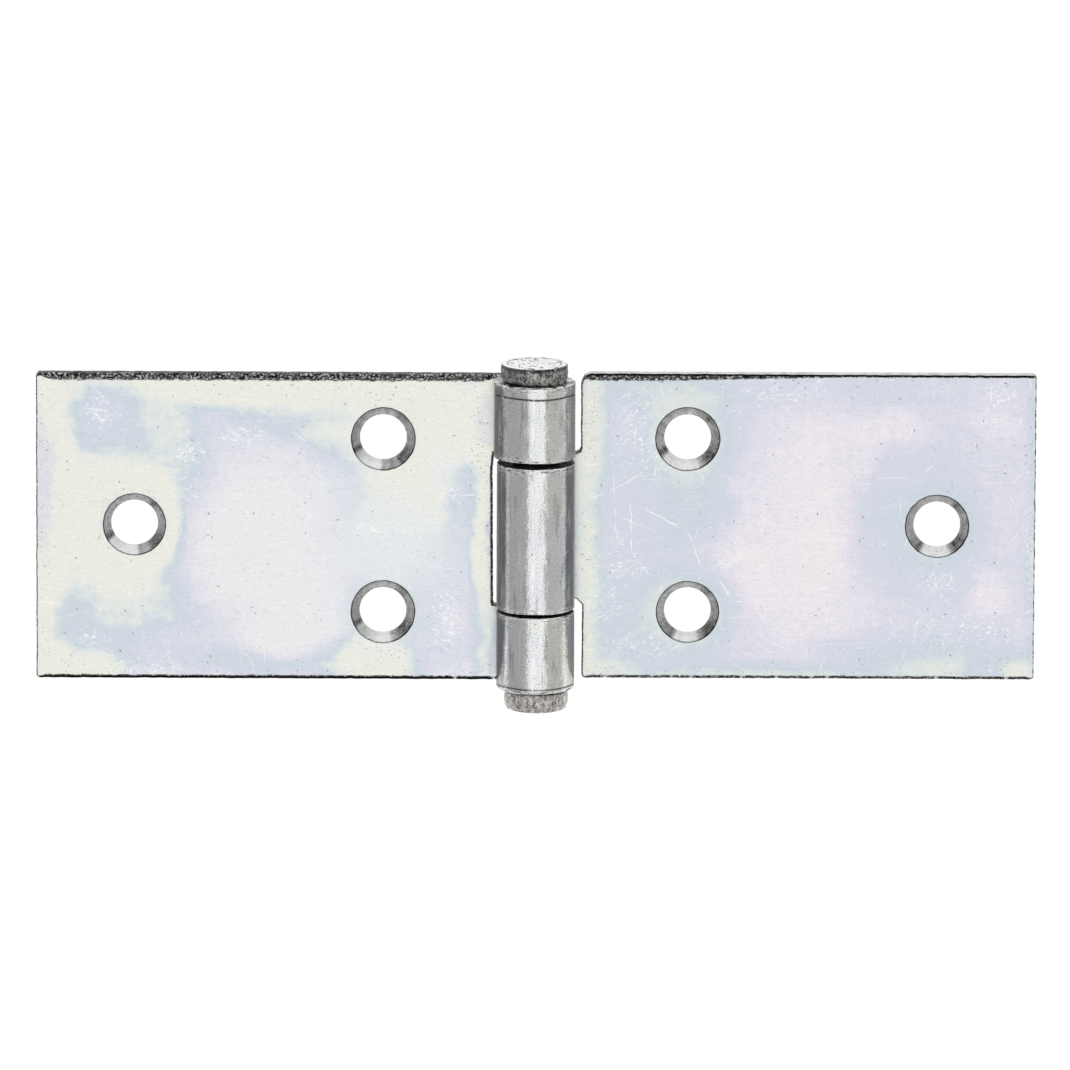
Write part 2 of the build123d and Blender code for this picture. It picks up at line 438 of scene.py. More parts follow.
twoKnuckleLeaf = {
    "name": "leafTwoKnuckles", "node": "two_knuckle_leaf", "body": "fixed_leaf", "side": -1.0, "seed": 11,
    "corners": [
        (-64.5, -20.0, 0.6), (tip, -20.0, 0.3), (tip, -10.2, 0.3), (-5.43, -10.2, 0.35), (-5.55, 8.0, 1.5),
        (-5.3, 10.0, 0.25), (tip - 0.7, 10.0, 0.25), (tip, 10.7, 0.25), (tip, 20.0, 0.3), (-64.5, 20.0, 0.6),
    ],
    # screw holes: centre, countersink radius, and the two ends of the sector painted bright as a highlight
    "holes": [
        (-51.8, 0.25, 4.08, 172.0, 236.0), (-19.7, 11.65, 4.17, 184.0, 240.0),
        (-19.7, -11.15, 4.17, 164.0, 238.0),
    ],
    "drop": 0.4,   # how far the lower knuckle hangs below the flat
    "fuller": (0.14, 0.17),   # how far the top and bottom edges of the flat bulge out
    "topEase": (1.15, 1.15),   # width of the worn top edge at the far end and by the knuckles
    # lines scored round the knuckles: place, depth and half width
    "grooves": [(18.45, 0.06, 0.10), (-19.32, 0.042, 0.10)],
    "ends": [20.0, 10.0, -10.2, -20.0],   # of the knuckles, where plating is chipped and dirt sits
    "nearEase": 0.22,   # how much wider the ease is along the notch
    "paintedShine": 1.02,   # of the countersinks' sectors painted bright as a highlight
    "flares": [(5.0, 0.40)],   # the knuckle above this level has an end that stands off so far
    "flankShadeAngles": (88.0, 55.0),   # degrees from the crown where the painted shade on a knuckle's two sides is fullest
    "olive": 1.0,   # how yellow the film is on the side that comes from the leaf
    "bareAndShadedWall": 1.0,   # how dark the straight part of the edge is painted, as bare metal and shade
    "gapsAt": (0.80, 0.90, 9.0),   # how whole the painted dark line is along the bottom, far and top edge
    "bottomShadeLine": (0.46, 1.6),   # width of the bottom edge's ease, and its wear deepened into a painted shadow line
    "topLine": 0.0,   # how much blacker the painted shade on the rim of the top edge's ease is
    "hairShare": 0.20, "scuffing": 1.25,
    # film thickness against tint, from the lilac of a bare rim through cream and blue to the pale middle
    "filmTints": [
        (0.00, (0.75, 0.73, 0.79)), (0.11, (0.845, 0.835, 0.765)), (0.34, (0.835, 0.835, 0.768)),
        (0.42, (0.75, 0.79, 0.775)), (0.50, (0.60, 0.678, 0.742)), (0.60, (0.68, 0.70, 0.79)),
        (0.72, (0.76, 0.76, 0.82)), (0.88, (0.825, 0.825, 0.84)), (1.00, (0.84, 0.805, 0.835)),
    ],
    "filmLevel": 0.86, "clouding": 0.15,
    # places where the film is thinner or thicker: x, y, half width, half height, film
    "patches": [
        (-34.7, 12.6, 11.0, 4.0, 0.57), (-41.8, 8.6, 3.8, 7.0, 0.63), (-32.3, 8.2, 7.5, 3.2, 0.72),
        (-29.3, 12.6, 5.2, 2.2, 0.50), (-17.7, -0.8, 8.6, 7.2, 0.46), (-48.7, -13.2, 11.0, 5.4, 0.60),
        (-45.7, -15.0, 5.5, 2.2, 0.66), (-36.2, -17.8, 11.0, 2.0, 0.52), (-34.0, -14.4, 4.0, 2.4, 0.94),
        (-62.4, -0.4, 3.4, 24.0, 0.20), (-42.0, 18.3, 23.0, 2.8, 0.22), (-53.8, 0.8, 10.4, 12.2, 0.21),
        (-14.8, 12.9, 11.8, 9.6, 0.24), (-15.1, 3.6, 4.6, 3.6, 0.28), (-6.6, -5.7, 1.5, 18.0, 0.26),
        (-20.7, -18.2, 6.2, 3.2, 0.26), (-59.5, -18.8, 7.4, 2.6, 0.24), (-59.6, -12.0, 2.6, 4.4, 0.50),
        (-54.3, 14.1, 6.0, 5.0, 0.52), (-56.6, 14.2, 2.4, 3.6, 0.56), (-9.9, 1.6, 2.2, 7.0, 0.55),
        (-11.4, -12.8, 4.6, 6.2, 0.57), (-10.8, -12.6, 1.8, 2.4, 0.72), (-64.0, 5.7, 1.8, 12.0, 0.00),
        (-6.2, 14.6, 2.0, 5.0, 0.00), (-20.5, -16.1, 2.4, 0.8, 0.05), (-47.6, 13.2, 3.4, 4.4, 0.42),
        (-36.0, -2.0, 9.0, 9.0, 0.91),
    ],
    # the film round the holes, then places rubbed pale and how much, then scuffed places
    "halos": [(-51.8, 0.25, 5.2, 5.2, 0.03), (-19.7, -11.15, 5.0, 5.0, 0.40)],
    "hazes": [
        (-19.0, -2.0, 8.0, 6.5, 0.85), (-25.5, 2.0, 4.0, 6.0, 0.5), (-26.0, -9.0, 3.0, 5.0, 0.4),
        (-12.0, 7.0, 2.0, 3.0, 0.6), (-19.7, -11.1, 6.0, 6.0, 0.4),
    ],
    "scuffs": [
        (-38.0, 12.0, 3.4, 1.3), (-30.5, 11.6, 1.8, 0.6), (-28.2, 7.0, 0.8, 1.8), (-11.0, 4.5, 1.8, 1.2),
        (-20.0, -0.4, 4.0, 0.8), (-50.0, -18.8, 6.0, 0.9), (-57.0, -14.8, 2.0, 1.2), (-63.2, -1.5, 0.8, 1.2),
        (-44.5, 9.6, 2.0, 1.6), (-11.5, -12.0, 2.0, 4.0), (-44.5, 5.0, 0.8, 1.6), (-56.0, 15.2, 2.0, 2.4),
    ],
    # places where dirt gathers, away from the edges
    "specks": [
        (-19.6, 16.6, 2.6, 1.6), (12.5, 11.5, 0.5, 0.5), (-16.4, 14.6, 1.2, 1.6), (-31.6, 17.9, 0.9, 0.6),
        (-7.6, 12.0, 1.2, 6.0), (-15.0, -3.9, 1.2, 0.5), (-19.5, -16.4, 3.0, 0.8),
    ],
    # scratches: the points of each, and its half width
    "scores": [
        ([(-11.8, 4.2), (-7.6, 4.3)], 0.07), ([(-13.8, -5.2), (-9.6, -5.6)], 0.07),
        ([(-46.5, 9.0), (-43.2, 11.0)], 0.05), ([(-46.0, 8.0), (-42.6, 10.2)], 0.04),
        ([(-37.6, -16.6), (-36.4, -18.6)], 0.06), ([(-58.6, -15.4), (-54.8, -17.2)], 0.05),
    ],
}
oneKnuckleLeaf = {
    "name": "leafOneKnuckle", "node": "one_knuckle_leaf", "body": "swinging_leaf", "side": 1.0, "seed": 23,
    "corners": [
        (-64.5, -19.8, 0.6), (-5.95, -19.8, 0.6), (-6.0, -10.1, 0.3), (-5.2, -9.35, 0.3), (-4.35, -9.35, 0.2),
        (-4.35, -9.85, 0.2), (tip, -9.85, 0.3), (tip, 9.35, 0.3), (-3.4, 9.35, 0.2), (-3.9, 9.9, 0.2),
        (-5.75, 9.9, 0.7), (-5.75, 20.2, 1.55), (-64.5, 20.2, 0.6),
    ],
    "holes": [
        (-51.8, 0.45, 4.15, 155.0, 212.0), (-19.55, 11.8, 4.2, 156.0, 232.0),
        (-19.65, -11.0, 4.08, 158.0, 208.0),
    ],
    "drop": 0.0,
    "fuller": (0.15, 0.07),
    "topEase": (0.44, 1.2),
    "grooves": [],
    "ends": [9.35, -9.85],
    "nearEase": 0.05,
    "paintedShine": 0.98,
    "flares": [],
    "flankShadeAngles": (55.0, 55.0),
    "olive": 0.0,
    "bareAndShadedWall": 0.15,
    "gapsAt": (0.32, -0.10, 0.85),
    "bottomShadeLine": (0.40, 1.22),
    "topLine": 0.5,
    "hairShare": 0.42, "scuffing": 0.9,
    "filmTints": [
        (0.00, (0.73, 0.71, 0.77)), (0.11, (0.81, 0.81, 0.745)), (0.24, (0.80, 0.805, 0.745)),
        (0.34, (0.715, 0.765, 0.745)), (0.46, (0.60, 0.668, 0.733)), (0.56, (0.64, 0.682, 0.762)),
        (0.66, (0.655, 0.682, 0.77)), (0.78, (0.74, 0.72, 0.805)), (0.90, (0.83, 0.79, 0.835)),
        (1.00, (0.845, 0.806, 0.79)),
    ],
    "filmLevel": 0.70, "clouding": 0.24,
    "patches": [
        (13.5, 0.0, 11.5, 26.0, 0.54), (34.9, 0.4, 13.5, 17.0, 0.76), (43.0, 17.6, 21.0, 2.0, 0.66),
        (39.4, 10.4, 8.4, 5.2, 0.90), (46.0, 12.6, 4.4, 2.6, 0.88), (33.6, -4.0, 9.2, 12.4, 0.90),
        (25.8, 2.9, 4.2, 2.6, 0.89), (35.7, -3.5, 2.8, 4.4, 0.98), (60.0, 4.8, 5.0, 15.0, 0.72),
        (58.6, -8.8, 2.6, 2.6, 0.86), (59.0, 14.5, 3.0, 2.6, 0.80), (49.4, 0.4, 7.6, 8.6, 0.54),
        (45.9, 3.8, 2.7, 6.2, 0.56), (51.6, -16.8, 12.6, 2.8, 0.47), (51.2, -18.8, 5.0, 1.8, 0.32),
        (63.4, -19.2, 3.2, 2.2, 0.22), (11.2, -15.0, 4.2, 3.8, 0.46), (19.8, 2.6, 5.4, 3.4, 0.47),
        (11.6, 13.2, 3.2, 3.2, 0.64), (11.8, -0.9, 4.6, 6.4, 0.65), (18.5, 17.8, 9.0, 2.0, 0.40),
        (6.8, 12.8, 2.3, 7.2, 0.24), (6.4, -6.6, 1.8, 17.0, 0.26), (9.0, -19.4, 5.0, 1.8, 0.24),
        (28.0, -19.6, 20.0, 1.5, 0.34), (64.4, 0.0, 0.7, 20.0, 0.36),
    ],
    "halos": [(19.55, 11.8, 5.8, 5.8, 0.32), (19.65, -11.0, 5.6, 5.6, 0.33), (51.8, 0.45, 5.1, 5.1, 0.37)],
    "hazes": [],
    "scuffs": [
        (11.0, -4.0, 3.0, 3.0), (24.5, -4.6, 2.0, 2.0), (36.5, 18.4, 2.0, 1.2), (14.0, 12.0, 4.5, 6.0),
        (54.0, -13.4, 8.0, 2.4), (63.8, 0.0, 0.6, 9.0), (60.0, 17.6, 3.0, 1.4), (9.0, -10.0, 3.0, 2.4),
        (52.0, -6.4, 3.0, 2.0), (31.0, 17.6, 5.0, 1.4), (14.0, -15.6, 5.0, 2.0), (58.5, 14.8, 2.4, 1.4),
    ],
    "specks": [
        (-11.1, 3.4, 0.35, 0.3), (7.0, 14.0, 1.3, 4.0), (57.0, 12.2, 0.6, 1.4), (6.6, -3.0, 0.8, 5.0),
        (6.6, -13.0, 0.6, 5.0),
    ],
    "scores": [
        ([(-7.2, 3.9), (-10.2, 5.3), (-13.8, 7.3)], 0.08), ([(-10.0, 7.7), (-10.4, -1.6)], 0.06),
        ([(-12.2, 3.3), (-12.4, -3.2), (-14.6, -6.0)], 0.08),
        ([(-13.4, 2.9), (-19.7, -0.4), (-21.3, -4.8)], 0.08), ([(-20.9, 3.3), (-26.4, -1.6)], 0.05),
        ([(-23.7, -6.8), (-25.6, -9.6), (-29.2, -9.2)], 0.08), ([(-47.0, 4.5), (-47.2, 1.4)], 0.07),
        ([(-57.0, -11.3), (-56.4, -13.7)], 0.07), ([(-49.4, -12.0), (-49.0, -14.6)], 0.06),
        ([(-51.2, -6.8), (-52.2, -8.0)], 0.07), ([(-63.4, 1.0), (-63.6, -4.5)], 0.08),
        ([(-24.2, 15.0), (-30.0, 17.4)], 0.05), ([(10.2, -3.6), (11.2, -2.9), (12.4, -1.4)], 0.08),
        ([(11.3, -1.0), (12.0, -2.8)], 0.06),
    ],
}


def roundedOutline(corners):
    # every corner of an anticlockwise outline becomes an arc that touches both of its sides;
    # gives the points, their inward normals, and how far in an edge's ease may reach there
    place, radius = corners[:, :2], corners[:, 2:]
    into, out = place - np.roll(place, 1, 0), np.roll(place, -1, 0) - place
    into /= np.linalg.norm(into, axis=1, keepdims=True)
    out /= np.linalg.norm(out, axis=1, keepdims=True)
    turn = np.arctan2(into[:, 0] * out[:, 1] - into[:, 1] * out[:, 0], (into * out).sum(1))[:, None]
    leftward = np.stack([-into[:, 1], into[:, 0]], 1)
    centre = place - into * radius * np.tan(np.abs(turn) / 2) + leftward * radius * np.sign(turn)
    heading = np.arctan2(into[:, 1], into[:, 0])[:, None]
    heading = heading + turn * np.linspace(0.0, 1.0, sheet["arcSteps"] + 1)
    normals = np.stack([-np.sin(heading), np.cos(heading)], 2)
    arcs = centre[:, None] - normals * (radius * np.sign(turn))[:, None]
    points, inward = [], []
    for index in range(len(corners)):
        last, following = arcs[index, -1], arcs[(index + 1) % len(corners), 0]
        count = max(1, int(np.linalg.norm(following - last) / sheet["outlineStep"]))
        between = last + (following - last) * np.linspace(0.0, 1.0, count + 1)[1:-1, None]
        points += [arcs[index], between]
        inward += [normals[index], np.broadcast_to(normals[index, -1], between.shape)]
    points, inward = np.concatenate(points), np.concatenate(inward)
    convex = turn[:, 0] > 0
    apart = np.linalg.norm(points[:, None] - place[convex], axis=2)
    room = (0.75 * radius[convex, 0] + 0.5 * np.maximum(apart - radius[convex, 0], 0.0)).min(1)
    return points, inward, room


def insideLoops(points, loops):
    # even and odd rule: a point is inside where a line from it crosses the loops an odd number of times
    crossings = np.zeros(len(points), int)
    for loop in loops:
        start, end = loop, np.roll(loop, -1, 0)
        spans = (start[:, 1] > points[:, 1:]) != (end[:, 1] > points[:, 1:])
        rise = np.where(end[:, 1] == start[:, 1], 1.0, end[:, 1] - start[:, 1])
        meets = start[:, 0] + (points[:, 1:] - start[:, 1]) / rise * (end[:, 0] - start[:, 0])
        crossings += (spans & (points[:, :1] < meets)).sum(1)
    return crossings % 2 == 1


def fillBetween(loops, lattice):
    # Delaunay triangles over the loops and the lattice points well inside them
    outline = np.concatenate(loops)
    kept = lattice[insideLoops(lattice, loops)]
    clear = np.concatenate([np.linalg.norm(part[:, None] - outline, axis=2).min(1)
                            for part in np.array_split(kept, 8)])
    kept = kept[clear > sheet["keepOff"]]
    edges, first = [], 0
    for loop in loops:
        corner = np.arange(len(loop))
        edges.append(first + np.stack([corner, np.roll(corner, -1)], 1))
        first += len(loop)
    corners, edges = np.concatenate([outline, kept]), np.concatenate(edges)
    made = delaunay_2d_cdt(corners.tolist(), edges.tolist(), [], 0, 1e-7)
    points, triangles = np.array(made[0]), np.array(made[2])
    inside = insideLoops(points[triangles].mean(1), loops)
    return points, triangles[inside]


def grooveDepth(along, up, leaf):
    # bell-shaped lines round the roll that wander a little from their level
    depth = np.zeros(len(up))
    for level, deep, half in leaf["grooves"]:
        depth += deep * np.exp(-((up - level - 0.05 * np.sin(along * 0.9)) / half) ** 2)
    return depth * (along > 0)


def bend(blank, leaf):
    # flat up to along = 0, then a circle round the pin: angle = along / middle radius,
    # radius = outside - height, less shallow waves and score lines, and more where an end stands off;
    # the lower knuckle hangs lower as it leaves the flat, and the flat is fuller at its top and bottom edges
    along, up, height = blank.T
    angle = np.maximum(along, 0.0) / rollMiddle
    radius = rollOutside - height
    outer = (1.0 - height / sheet["thickness"]) * eased(along, 0.0, 3.0)
    waves = sheet["rollWaves"] * (1.0 + np.clip(ripple(along, up, 1.6, 6.0, leaf["seed"] + 2), -1.0, 1.0))
    waves = waves + grooveDepth(along, up, leaf)
    for low, amount in leaf["flares"]:
        radius = radius + amount * eased(angle, *sheet["flareRun"]) * (up > low)
    radius = radius - outer * waves
    x = np.where(along > 0, radius * np.sin(angle), along)
    z = np.where(along > 0, rollOutside - radius * np.cos(angle), height)
    fullTop, fullBottom = leaf["fuller"]
    fuller = fullTop * eased(up, *sheet["fullerRun"]) - fullBottom * eased(-up, *sheet["fullerRun"])
    dropTop, dropHeight = sheet["dropFrom"]
    up = up - leaf["drop"] * eased(along, *sheet["dropRun"]) * np.clip((dropTop - up) / dropHeight, 0.0, 1.0)
    up = up + fuller * eased(-along, 1.0, 5.6)
    return np.stack([-leaf["side"] * x, up, z], 1)


def softPatch(x, y, patch, soft=0.5):
    # 1 inside an oval given by its centre and half sizes, with a soft rim
    apart = np.hypot((x - patch[0]) / patch[2], (y - patch[1]) / patch[3])
    return 1.0 - eased(apart, 1.0 - soft, 1.0 + soft)


def filmOver(leaf, x, y):
    # one level, drawn towards each patch's own level in turn; the patches' outlines wander, the halos' don't
    moved = []
    for place, seed in ((x, leaf["seed"] + 7), (y, leaf["seed"] + 8)):
        moved.append(place + 0.7 * ripple(x, y, 5.0, 18.0, seed) + 0.4 * ripple(x, y, 2.0, 5.0, seed + 30))
    film = np.full(len(x), leaf["filmLevel"])
    for patch in leaf["patches"]:
        film += (patch[4] - film) * softPatch(*moved, patch, 0.62)
    for halo in leaf["halos"]:
        film += (halo[4] - film) * softPatch(x, y, halo)
    return film


def sidesOf(outline, inward):
    # how far each point of the outline is on the flat, and on its top, bottom, far and notch edge
    along, up = outline.T
    onFlat = 1.0 - eased(along, -2.0, 1.0)
    onTop = eased(-inward[:, 1], 0.6, 0.95) * eased(-along, 4.0, 7.0) * (up > 15)
    onBottom = eased(inward[:, 1], 0.6, 0.95) * (up < -15) * onFlat
    onFar = eased(inward[:, 0], 0.6, 0.95) * (along < -60)
    onNear = eased(-inward[:, 0], 0.4, 0.8) * (np.abs(along + 5.5) < 1.0)
    return onFlat, onTop, onBottom, onFar, onNear


def makeEdge(leaf):
    # a quarter of an ellipse off the front, a straight wall and a quarter circle to the back,
    # carried along the outline; gives the outline, the rows of points, and the set of points, faces and marks
    thick, steps, seed = sheet["thickness"], sheet["easeSteps"], leaf["seed"]
    outline, inward, room = roundedOutline(np.array(leaf["corners"]))
    turns = np.arange(len(outline)) / len(outline)
    outline = outline + inward * (sheet["edgeWander"] * (1.0 + wobble(turns, 20, 220, seed)))[:, None]
    onFlat, onTop, onBottom, onFar, onNear = sidesOf(outline, inward)
    topWidth = np.interp(-outline[:, 0], sheet["topRun"], leaf["topEase"][::-1])
    ragged = 1.0 + sheet["ragged"] * wobble(turns, 60, 400, seed + 1)
    frontWidth = sheet["frontEase"] + (topWidth - sheet["frontEase"]) * onTop
    frontWidth = frontWidth + leaf["bottomShadeLine"][0] * onBottom + leaf["nearEase"] * onNear
    frontWidth = np.minimum(frontWidth * ragged, room)
    frontDepth = frontWidth * (sheet["frontSlope"] - sheet["topSlope"] * onTop)
    lowRim = (1.0 - onFlat) * eased(-outline[:, 1], 18.0, 19.5)
    backWidth = sheet["backEase"] - sheet["rollBackEase"] * (1.0 - onFlat) + leaf["drop"] * 0.8 * lowRim
    backWidth = np.minimum(backWidth, np.maximum(room, 0.5 * lowRim))
    quarter = np.linspace(0.0, np.pi / 2, steps)[:, None]
    wall = np.array(sheet["wallRows"])[:, None]
    level = np.zeros((len(wall), len(outline)))
    inset = np.concatenate([frontWidth * (1.0 - np.sin(quarter)), level, backWidth * (1.0 - np.cos(quarter))])
    wallTop = thick - frontDepth
    height = np.concatenate([thick - frontDepth * (1.0 - np.cos(quarter)),
                             wallTop + (backWidth - wallTop) * wall, backWidth * (1.0 - np.sin(quarter))])
    edge = np.concatenate([outline + inset[..., None] * inward, height[..., None]], 2)
    rows, columns = inset.shape

    # bare metal and painted shade grow over the front ease, cover the wall as far as the leaf's own wear
    # goes, and end on the back ease; the dark lines along the edges are painted shade
    share = np.linspace(0.0, 1.0, steps)[:, None]
    wallBareAndShaded = 1.0 - (1.0 - leaf["bareAndShadedWall"]) * onTop
    cover = eased(np.sin(share * np.pi / 2), 0.12, 0.45)
    wornAndShaded = np.concatenate([cover * (1.0 - (1.0 - wallBareAndShaded) * eased(share, 0.8, 1.0)), wallBareAndShaded + level,
                           np.maximum(wallBareAndShaded, 0.8) * (1.0 - share) ** 2])
    broken = wobble(turns, 60, 420, seed + 4)
    onFront = (np.arange(rows) < steps)[:, None]
    for place, gap in zip((onBottom, onFar, onTop), leaf["gapsAt"]):
        wornAndShaded = wornAndShaded * (1.0 - 0.95 * place * eased(broken, gap, gap + 0.3) * onFront)
    wornAndShaded = wornAndShaded * (1.0 - 0.6 * (1.0 - onFlat) * onFront)
    wornAndShaded = wornAndShaded * (1.0 + (leaf["bottomShadeLine"][1] - 1.0) * onBottom * onFront)
    wornAndShaded[:steps] *= 1.0 + leaf["topLine"] * onTop * eased(-inset[:steps], -0.30, -0.16)
    wornAndShaded = wornAndShaded * (1.0 - 0.7 * (1.0 - onFlat) * (outline[:, 1] > 18.0) * (1.0 - onFront))
    # the top edge's wall, where plated, is painted pale as a reflection
    marks = {"sheared": wornAndShaded.ravel(),
             "bright": (sheet["wallPaintedSheen"] * (1.0 - wallBareAndShaded) * (1.0 - onFront)).ravel(),
             "wall": np.repeat(1.0 - onFront, columns)}
    return outline, edge, (edge.reshape(-1, 3), ringQuads(rows, columns), marks)


def makeCountersinks(leaf, sink):
    # an eased rim, a cone, a straight land and an eased back, carried round each hole's centre;
    # gives the rows of points and the set of points, faces and marks of each
    thick, ease, hole = sheet["thickness"], sink["rimEase"], sink["hole"]
    share = np.linspace(0.0, 1.0, 9)
    drop = thick - ease * 0.5
    level = np.concatenate([[thick, thick - 0.12 * ease], drop + (sink["land"] - drop) * share,
                            [sink["backEase"], 0.07, 0.0]])
    around = np.arange(sink["steps"]) / sink["steps"]
    angle = 2.0 * np.pi * around
    onCone = eased(level, 0.0, 0.02) * eased(thick - level, 0.0, 0.02)
    # painted shade: a dark line along the cone's outer rim
    rimShade = 1.1 * (1.0 - eased(thick - level, 0.03, 0.17))
    made = []
    for number, (x, y, rim, brightFrom, brightTo) in enumerate(leaf["holes"]):
        seed = leaf["seed"] + number
        reach = np.concatenate([[rim + ease, rim + 0.35 * ease], rim - 0.03 + (hole - rim + 0.03) * share,
                                [hole, hole + 0.05, hole + sink["backEase"]]])
        radius = reach[:, None] + 0.03 * wobble(around, 2, 24, seed + 5) * eased(reach, 3.1, 4.1)[:, None]
        ring = np.stack(np.broadcast_arrays(x + radius * np.cos(angle), y + radius * np.sin(angle),
                                            level[:, None]), 2)
        spread = np.stack(np.broadcast_arrays(np.cos(angle), np.sin(angle), level[:, None] + 7.0 * number), 2)
        clock = (-leaf["side"] * (90.0 - np.degrees(angle))) % 360.0
        # a painted highlight over one sector, a painted dark streak just past it, and painted light and shade
        # round the rest
        bright = eased(clock, brightFrom - 5.0, brightFrom + 5.0)
        bright = bright * eased(-clock, -brightTo - 5.0, -brightTo + 5.0)
        paintedShine = np.interp(clock, sink["clock"], sink["paintedShine"])
        paintedShine = paintedShine - 0.3 * np.exp(-((clock - brightTo - 9.0) / 6.0) ** 2)
        paintedShine = paintedShine + (leaf["paintedShine"] - paintedShine) * bright + 0.08 * wobble(around, 3, 22, seed + 9)
        marks = {"cut": np.repeat(onCone, sink["steps"]), "cone": spread.reshape(-1, 3),
                 "tone": (paintedShine - rimShade[:, None]).ravel()}
        faces = ringQuads(len(reach), sink["steps"])
        made.append((ring, (ring.reshape(-1, 3), faces, marks)))
    return made


def insidePoints(leaf):
    # points for the faces' insides: even on the flat, closer on the roll, and closest across the score lines
    onFlat, onRoll = np.arange(-64.0, -0.2, sheet["flatStep"]), np.arange(0.0, tip, sheet["rollStep"])
    ups = np.arange(-20.0, 20.5, sheet["flatStep"])
    lattice = np.stack(np.meshgrid(np.concatenate([onFlat, onRoll]), ups, indexing="ij"), 2).reshape(-1, 2)
    for level, _, half in leaf["grooves"]:
        close = level + half * np.linspace(-2.4, 2.4, 9)
        line = np.stack(np.meshgrid(np.arange(0.0, tip, sheet["lineStep"]), close), 2).reshape(-1, 2)
        lattice = np.concatenate([lattice[np.abs(lattice[:, 1] - level) > 3.5 * half], line])
    return lattice


def platingMarks(leaf, blank, outline):
    # what the plating is like at each point, by its place on the flat blank
    along, up = blank[:, 0], blank[:, 1]
    x = -leaf["side"] * along
    rolled = eased(along, -0.5, 5.0)
    marks = {"blank": blank * mm + np.array([0.0, 0.0, 0.1 * leaf["seed"]]), "rolled": rolled}
    onRoll = 0.48 + 0.34 * ripple(along, up, 5.0, 16.0, leaf["seed"] + 3)
    marks["hazed"] = np.max([patch[4] * softPatch(x, up, patch) for patch in leaf["hazes"]] + [0.0 * x], 0)
    marks["film"] = filmOver(leaf, x, up) * (1.0 - rolled) + onRoll * rolled
    marks["groove"] = grooveDepth(along, up, leaf) / 0.06
    marks["scuffed"] = leaf["scuffing"] * np.max([softPatch(x, up, patch) for patch in leaf["scuffs"]], 0)
    # dirt: in its own places and along every edge
    fromEdge = np.linalg.norm(blank[:, None, :2] - outline[::3], axis=2).min(1)
    dirt = [softPatch(x, up, patch) for patch in leaf["specks"]]
    marks["specked"] = np.max(dirt + [0.9 * np.exp(-fromEdge / 0.7)], 0)
    fromEnd = np.abs(blank[:, 1:2] - np.array(leaf["ends"])).min(1)
    marks["rimmed"] = rolled * eased(-fromEnd, -0.62, -0.38)
    # painted shade on the knuckles' sides, by degrees from their crowns; less of it at the lower end, which
    # catches light again
    pastCrown = np.degrees(along / rollMiddle) - 180.0
    fromCrown = np.abs(pastCrown)
    flank = eased(fromCrown, 46.0, np.where(pastCrown < 0.0, *leaf["flankShadeAngles"]))
    flank = flank * eased(-fromCrown, -140.0, -100.0)
    marks["flank"] = flank * rolled * (1.0 - 0.75 * np.exp(-((up + 19.6) / 0.8) ** 2))
    marks["olive"] = leaf["olive"] * eased(-pastCrown, 6.0, 26.0) * rolled
    return marks


def makeLeaf(leaf):
    # the edge, the countersinks and the two faces between them, as one blank that is then bent
    outline, edge, edgeSet = makeEdge(leaf)
    sinks = makeCountersinks(leaf, countersink)
    sets = [edgeSet] + [sinkSet for _, sinkSet in sinks]
    lattice = insidePoints(leaf)
    for row, lies in ((0, sheet["thickness"]), (-1, 0.0)):
        loops = [edge[row, :, :2]] + [ring[row, :, :2] for ring, _ in sinks]
        points, triangles = fillBetween(loops, lattice)
        sets.append((np.column_stack([points, np.full(len(points), lies)]), triangles.tolist(), {}))
    blank = np.concatenate([part for part, _, _ in sets])
    marks = {}
    for mark in ("sheared", "bright", "wall", "cut", "tone", "cone"):
        size = (3,) if mark == "cone" else ()
        marks[mark] = np.concatenate([own.get(mark, np.zeros((len(part), *size))) for part, _, own in sets])
    marks.update(platingMarks(leaf, blank, outline))
    faces, first = [], 0
    for part, corners, _ in sets:
        faces += (np.array(corners) + first).tolist()
        first += len(part)
    material = makeZincPlate(zincPlate, leaf)
    return storeMesh(leaf["name"], bend(blank, leaf), faces, marks, material, leaf["body"], leaf["node"])


makeLeaf(twoKnuckleLeaf)
makeLeaf(oneKnuckleLeaf)


# pin, in millimetres: a profile of (radius, place along the pin) turned about the pin's own axis

hingePin = {
    "shaft": 3.0, "low": -20.4, "high": 20.0, "steps": 120, "seed": 41,
    "topHead": [
        (4.03, 22.36), (4.14, 22.32), (4.24, 22.22), (4.33, 22.06), (4.375, 21.6), (4.39, 21.28),
        (4.375, 20.9), (4.33, 20.5), (4.16, 20.22), (3.93, 20.0),
    ],
    "bottomHead": [
        (3.95, -20.4), (4.07, -20.8), (4.15, -21.4), (4.15, -22.0), (4.05, -22.55), (3.86, -22.92),
        (3.5, -23.15),
    ],
    "unevenness": 0.09,
    # places along the pin, up or down, between which the heads' unevenness and their shift grow
    "topUneven": (19.9, 20.6), "bottomUneven": (20.3, 21.0),
    "topShift": (19.95, 20.3), "bottomShift": (20.35, 20.7),
    "struckFrom": 22.3,   # the faces beyond this have rings, one of them struck deeper
    "ringDepth": 0.07, "ringHalf": 0.16, "fineDepth": 0.012, "fineWaves": 9.0,
    "headShift": (-0.26, 0.12),   # the upset heads sit a little off the pin's axis, across the leaves
}


